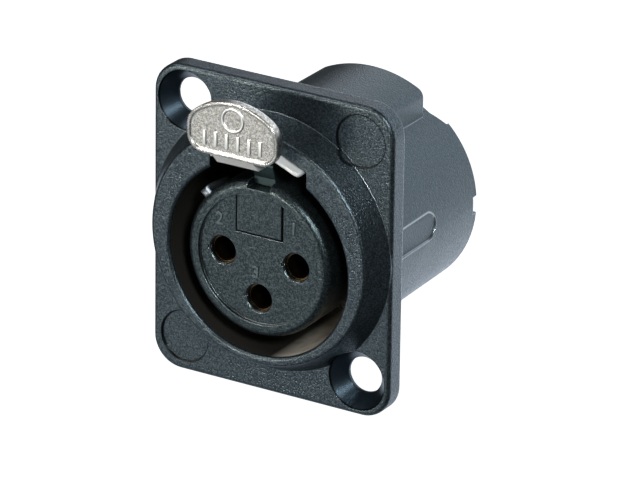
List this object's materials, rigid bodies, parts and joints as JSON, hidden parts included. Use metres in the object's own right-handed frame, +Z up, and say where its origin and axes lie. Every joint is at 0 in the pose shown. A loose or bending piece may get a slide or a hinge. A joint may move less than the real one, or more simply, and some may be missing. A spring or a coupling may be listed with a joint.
{
  "type": "xlr panel socket",
  "caption": "Square-flanged panel socket for a round audio plug, with slit contacts in a moulded insert, a push tab latch and solder cups behind.",
  "frame": {"origin": "centre of the flange's rear face, which lies on the panel", "axes": "+Y out of the flange's back along the barrel, +Z up towards the push tab, +X to the right seen from the front"},
  "size_m": [0.026, 0.0309, 0.0315],
  "materials": {
    "shell_finish": "fine-grained satin black on cast metal",
    "insert_plastic": "satin moulded",
    "rear_plastic": "satin moulded",
    "contact_metal": "turned and plated",
    "spring_metal": "tinned strip and plain pins",
    "tab_metal": "satin nickel plate with a fine grain",
    "hook_metal": "blackened"
  },
  "bodies": {
    "socket": {"shell": "shell_finish", "insert": "insert_plastic", "keyway_block": "insert_plastic", "contact_1": "contact_metal", "contact_2": "contact_metal", "contact_3": "contact_metal", "contact_retainer": "rear_plastic", "rear_insulator": "rear_plastic", "ground_spring": "spring_metal", "ground_tag": "spring_metal", "pivot_pin": "spring_metal"},
    "tab": {"push_tab": "tab_metal"},
    "latch": {"latch_hook": "hook_metal", "lift_pin": "spring_metal", "hook_spring": "spring_metal"}
  },
  "joints": [
    {"name": "tab_slide", "type": "slide", "parent": "socket", "child": "tab", "axis": [0, 1, 0], "range_m": [0, 0.0022], "stiffness_N_per_m": 1500, "springref_m": -0.0015},
    {"name": "hook_turn", "type": "hinge", "parent": "socket", "child": "latch", "pos_m": [0, 0.0132, 0.0096], "axis": [-1, 0, 0], "range_deg": [0, 9.45]}
  ],
  "couplings": [
    {"joint": "hook_turn", "follows": "tab_slide", "rad_per_m": 74.96}
  ]
}
